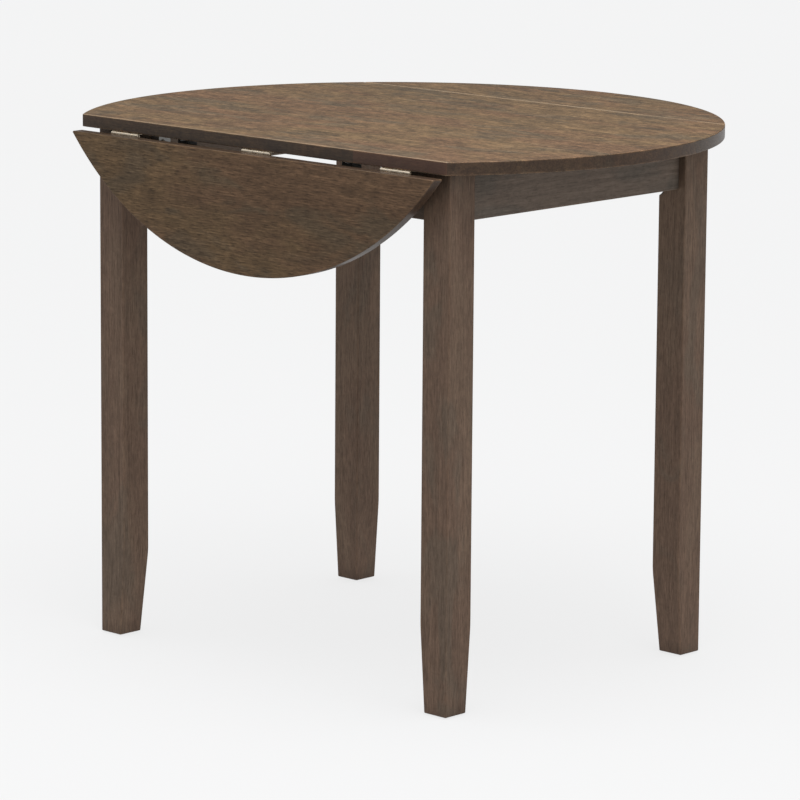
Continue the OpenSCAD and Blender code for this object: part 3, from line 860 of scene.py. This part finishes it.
def wing_nut(shape, place):
    """A wing nut with a domed hub and two rounded wings."""
    hub = [(5.2 * MM, 0), (5.4 * MM, 0.4 * MM), (5.4 * MM, 1.6 * MM), (4.6 * MM, 2.6 * MM)]
    hub += [(4.4 * MM, 4.8 * MM), (4.0 * MM, 5.7 * MM), (3.6 * MM, NUT_H)]
    shape.at(place).lathe(hub, 32, bore=BOLT_R + 0.02 * MM)
    # corners and their radii, in millimetres
    wing = [(3.6, 0.8), (7.6, 2.2), (12.6, 6.6), (12.8, 10.2), (9.6, 10.8), (6.2, 7.2), (3.6, 5.2)]
    radii = [0, 1, 1.6, 1.7, 1.4, 1, 0]
    outline = soften([Vector(p) * MM for p in wing], [r * MM for r in radii], 4)
    for angle in (0, 180):
        shape.at(place @ turn(angle, "Z") @ turn(90, "X"))
        shape.slab(outline, -1 * MM, 1 * MM, 0.55 * MM)


def make_glides():
    x, y = LEG_X - (LEG_W - TAPER_D) / 2, LEG_Y - (LEG_W - TAPER_D) / 2
    r = GLIDE_END - x
    shape = Shape()
    nail = 1.6 * MM
    profile = [(r - 1.3 * MM, 0), (r - 0.8 * MM, 0.06 * MM), (r - 0.3 * MM, 0.3 * MM)]
    profile += [(r - 0.04 * MM, 0.8 * MM), (r, 1.2 * MM), (r, FOOT_Z - 0.05 * MM)]
    profile += [(nail, FOOT_Z), (nail, FOOT_Z + 10 * MM), (0.2 * MM, FOOT_Z + 14 * MM)]
    for sx in (-1, 1):
        for sy in (-1, 1):
            shape.at(at_corner(sx, sy) @ move(x, y, 0)).lathe(profile, 48)
    shape.made("foot_glides", finish["nylon"], "black_nylon")


# ---- hinges ----


def hinge_half(shape, place, first, bore):
    """A hinge plate that reaches from the pin to +Y, and its knuckles, first, first + 2 and on."""
    shape.at(place)
    pitch = HINGE_W / KNUCKLES
    w = HINGE_W / 2 - KNUCKLE_GAP / 2
    root = KNUCKLE_R + 0.4 * MM
    spans = []
    for i in range(first, KNUCKLES, 2):
        start = -HINGE_W / 2 + i * pitch + KNUCKLE_GAP / 2
        spans.append((start, start + pitch - KNUCKLE_GAP))
    # the edge on the pin's side: out to a knuckle, back to the root beside it
    points = [] if first == 0 else [(-w, root)]
    for i, (a, b) in enumerate(spans):
        if first or i:
            points.append((a, root))
        points += [(a, 0.2 * MM), (b, 0.2 * MM)]
        if first or i < len(spans) - 1:
            points.append((b, root))
    if first:
        points.append((w, root))
    count = len(points)
    points += [(w, HINGE_REACH), (-w, HINGE_REACH)]
    radii = [0] * count + [3 * MM, 3 * MM]
    outline = soften([Vector(p) for p in points], radii, 6)
    z1 = PIN_DROP
    z0 = z1 - PLATE_T
    rim = HEAD_R + 0.12 * MM
    xs = (-HINGE_SCREW_X, 0, HINGE_SCREW_X)
    holes = [((x, HINGE_SCREW_Y), rim, rim - PLATE_T * 0.9) for x in xs]
    shape.slab(outline, z0, z1, 0.2 * MM, holes, steps=2)
    r, e = KNUCKLE_R, 0.35 * MM
    for a, b in spans:
        shape.at(place @ turn(90, "Y"))
        profile = [(r - e, a), (r - e * 0.3, a + e * 0.3), (r, a + e)]
        profile += [(r, b - e), (r - e * 0.3, b - e * 0.3), (r - e, b)]
        shape.lathe(profile, 28, bore=bore)


def make_hinges():
    xs = {"left": -HINGE_X, "middle": 0.0, "right": HINGE_X}
    for side, s in SIDES.items():
        to_side = at_corner(1, s)
        to_leaf = ON_TABLE @ (HANGING if side == "front" else Matrix.Identity(4))
        pins = Shape()
        for name, x in xs.items():
            half = Shape()
            hinge_half(half, to_side @ move(x, PIN_Y, PIN_Z) @ MIRROR_Y, 0, PIN_R)
            half.made(f"hinge_plate_{side}_{name}", finish["nickel"], "hinge_nickel")
            half = Shape()
            hinge_half(half, to_leaf @ move(x, PIN_Y, PIN_Z), 1, PIN_R + RUNNING_GAP)
            half.made(f"leaf_hinge_plate_{side}_{name}", finish["nickel"], "hinge_nickel")
            pins.at(to_side @ move(x, PIN_Y, PIN_Z) @ turn(90, "Y"))
            half_w, e = HINGE_W / 2, 0.5 * MM
            profile = [(PIN_R - e, -half_w), (PIN_R, e - half_w)]
            profile += [(PIN_R, half_w - e), (PIN_R - e, half_w)]
            pins.lathe(profile, 24)
        pins.made(side + "_hinge_pins", finish["nickel"], "hinge_nickel")


def make_hinge_screws():
    sets = {
        "hinge_screws": [(at_corner(1, s), PIN_Y - HINGE_SCREW_Y) for s in (-1, 1)],
        "front_leaf_hinge_screws": [(ON_TABLE @ HANGING, PIN_Y + HINGE_SCREW_Y)],
        "rear_leaf_hinge_screws": [(ON_TABLE, PIN_Y + HINGE_SCREW_Y)],
    }
    for node, places in sets.items():
        shape = Shape()
        for place, y in places:
            for x in (-HINGE_X, 0, HINGE_X):
                for dx in (-HINGE_SCREW_X, 0, HINGE_SCREW_X):
                    shape.at(place @ move(x + dx, y, UNDER - PLATE_T))
                    wood_screw(shape, HINGE_SCREW_L)
        shape.made(node, finish["nickel"], "hinge_nickel")


# ---- slides ----

EAR_L = 12 * MM
EAR_H = 5.8 * MM
GUIDE_W = 20 * MM
GUIDE_SCREW_X = 15 * MM


def channel_outline(width, height):
    """A guide's cross-section, with the channel that its bar runs in."""
    w, c = width / 2, (bar_hi.x - bar_lo.x) / 2 + SLIDE_GAP
    floor = bar_lo.z - SLIDE_GAP
    lower = UNDER - height
    points = [(-w, lower), (w, lower), (w, UNDER), (c, UNDER)]
    points += [(c, floor), (-c, floor), (-c, UNDER), (-w, UNDER)]
    radii = [1 * MM, 1 * MM] + [0.4 * MM] * 6
    return soften([Vector(p) for p in points], radii, 4)


def make_guides():
    front, back = guide_hi.y - MID_Y, guide_lo.y - MID_Y
    inner0, inner1 = inner_lo.y - MID_Y, inner_hi.y - MID_Y
    ease = 0.3 * MM
    outer_ear = channel_outline(guide_hi.x - guide_lo.x, EAR_H)
    outer_body = channel_outline(GUIDE_W, UNDER - guide_lo.z)
    inner_body = channel_outline(inner_hi.x - inner_lo.x, UNDER - inner_lo.z)
    screw_places = ((back + EAR_L / 2, UNDER - EAR_H), ((inner0 + inner1) / 2, inner_lo.z))
    screws = Shape()
    for corner, to_corner in each_corner():
        place = to_corner @ move(SLIDE_X, 0, 0)
        shape = Shape().at(place @ UPRIGHT)
        shape.slab(outer_body, back + EAR_L, front, ease)
        shape.slab(outer_ear, back, back + EAR_L, ease)
        shape.made("outer_guide_" + corner, finish["guide"], "guide_metal")
        shape = Shape().at(place @ UPRIGHT)
        shape.slab(inner_body, inner0, inner1, ease)
        shape.made("inner_guide_" + corner, finish["guide"], "guide_metal")
        for dx in (-GUIDE_SCREW_X, GUIDE_SCREW_X):
            for y, z in screw_places:
                wood_screw(screws.at(place @ move(dx, y, z)), SHORT_SCREW_L)
    screws.made("guide_screws", finish["zinc"], "zinc_fixings")


def make_slides():
    r = (bar_hi.x - bar_lo.x) / 2
    tip, tail = bar_hi.y - MID_Y, bar_lo.y - MID_Y
    peg_y = (peg_lo.y + peg_hi.y) / 2 - MID_Y
    peg_r = (peg_hi.x - peg_lo.x) / 2
    rivet = 2 * MM
    ends = soften(box_outline(-r, tail, r, tip), [1 * MM, 1 * MM, r * 0.999, r * 0.999], 12)
    foot = peg_lo.z
    grip = [(peg_r * 0.72, foot), (peg_r * 0.93, foot + 0.25 * MM), (peg_r, foot + 0.9 * MM)]
    waist = peg_r - 0.3 * MM
    for i in range(4):
        z = foot + (2.0 + 2.2 * i) * MM
        grip += [(peg_r, z), (waist, z + 0.35 * MM), (waist, z + 0.75 * MM), (peg_r, z + 1.1 * MM)]
    grip += [(peg_r, bar_lo.z - 0.1 * MM), (rivet, bar_lo.z)]
    grip += [(rivet, bar_hi.z - 0.15 * MM), (rivet * 0.8, bar_hi.z)]
    for corner, to_corner in each_corner():
        place = to_corner @ move(SLIDE_X, 0, 0)
        shape = Shape().at(place)
        shape.slab(ends, bar_lo.z, bar_hi.z, 0.35 * MM, [((0, peg_y), rivet, rivet)])
        shape.made("slide_bar_" + corner, finish["steel"], "slide_steel")
        shape = Shape().at(place @ move(0, peg_y, 0))
        shape.lathe(grip, 36)
        shape.made("slide_peg_" + corner, finish["nylon"], "black_nylon")


# ---- the studio ----


FLOOR_HALF = 60  # half the floor's width
FLOOR_GLOW = 0.775
HORIZON, ZENITH = 0.2, 2.8  # brightness of the surround
OVERHEAD = 3  # how strongly its light gathers overhead
CAMERA_PLACE = Vector((4.163, -4.362, 1.517))  # from the middle of the table, at the floor
CAMERA_TURN, CAMERA_TILT, CAMERA_ROLL = 44.75, 9.83, 0.23
LENS = 192.55


def make_floor():
    """A pale floor that glows by itself, so that it stays even."""
    f = Finish("pale_floor")
    soft = f.noise(f.stretched((0.7, 0.7, 0.7)), 2.0)
    colour = f.mix(soft, (0.10, 0.10, 0.101, 1), (0.104, 0.104, 0.105, 1))
    f.set(Base_Color=colour, Roughness=0.95, Specular_IOR_Level=0.0)
    f.set(Emission_Color=(1, 1, 1, 1), Emission_Strength=FLOOR_GLOW)
    h = FLOOR_HALF
    mesh = bpy.data.meshes.new("floor")
    mesh.from_pydata([(-h, -h, 0), (h, -h, 0), (h, h, 0), (-h, h, 0)], [], [(0, 1, 2, 3)])
    mesh.materials.append(f.material)
    floor = bpy.data.objects.new("floor", mesh)
    bpy.context.scene.collection.objects.link(floor)


def make_world():
    """A soft surround: dim at the horizon, bright overhead."""
    world = bpy.data.worlds.new("studio")
    world.use_nodes = True
    tree = world.node_tree
    coord = tree.nodes.new("ShaderNodeTexCoord")
    parts = tree.nodes.new("ShaderNodeSeparateXYZ")
    power = tree.nodes.new("ShaderNodeMath")
    power.operation = "POWER"
    power.inputs[1].default_value = OVERHEAD
    ramp = tree.nodes.new("ShaderNodeMapRange")
    ramp.inputs["To Min"].default_value = HORIZON
    ramp.inputs["To Max"].default_value = ZENITH
    background = tree.nodes["Background"]
    tree.links.new(coord.outputs["Generated"], parts.inputs[0])
    tree.links.new(parts.outputs[Z], power.inputs[0])
    tree.links.new(power.outputs[0], ramp.inputs[0])
    tree.links.new(ramp.outputs[0], background.inputs["Strength"])
    background.inputs["Color"].default_value = (0.97, 0.985, 1.0, 1)
    bpy.context.scene.world = world


def hang(lamp, back):
    """Adds a lamp to the scene, turned so that it shines away from the direction back."""
    lamp.rotation_mode = "QUATERNION"
    lamp.rotation_quaternion = back.to_track_quat("Z", "Y")
    bpy.context.scene.collection.objects.link(lamp)


def add_sun(name, azimuth, elevation, strength, spread):
    """A soft far light that shines from an azimuth and elevation, spread over an angle."""
    light = bpy.data.lights.new(name, "SUN")
    light.energy = strength
    light.angle = math.radians(spread)
    hang(bpy.data.objects.new(name, light), direction(azimuth, elevation))


def add_softbox(name, place, power, size):
    """A square lamp near the table that faces the middle of its top."""
    light = bpy.data.lights.new(name, "AREA")
    light.energy = power
    light.size = size
    lamp = bpy.data.objects.new(name, light)
    lamp.location = Vector(place) + Vector((0, MID_Y, 0))
    hang(lamp, Vector(place) - Vector((0, 0, TOP)))


def add_camera():
    """The camera stands off one corner of the table and looks down at it a little."""
    back = direction(CAMERA_TURN, CAMERA_TILT)
    level = direction(CAMERA_TURN + 90, 0)
    rise = back.cross(level)
    roll = math.radians(CAMERA_ROLL)
    right = level * math.cos(roll) + rise * math.sin(roll)
    up = rise * math.cos(roll) - level * math.sin(roll)
    data = bpy.data.cameras.new("camera")
    data.lens = LENS
    data.shift_x, data.shift_y = 0.1, -0.1
    data.clip_end = 200
    camera = bpy.data.objects.new("camera", data)
    axes = Matrix((right, up, back)).transposed().to_4x4()
    camera.matrix_world = Matrix.Translation(CAMERA_PLACE + Vector((0, MID_Y, 0))) @ axes
    bpy.context.scene.collection.objects.link(camera)
    bpy.context.scene.camera = camera


make_top()
for hand_name in HANDS:
    for side_name in SIDES:
        make_leg(side_name, hand_name)
make_aprons()
make_cleat_screws()
make_corner_plates()
make_bolts()
make_glides()
make_hinges()
make_hinge_screws()
make_guides()
make_slides()
make_floor()
make_world()
add_softbox("softbox", place=(0.52, -0.32, 1.95), power=18.5, size=1.1)
add_sun("side", azimuth=75, elevation=22, strength=0.32, spread=50)
add_camera()
bpy.context.scene.view_settings.view_transform = "Standard"
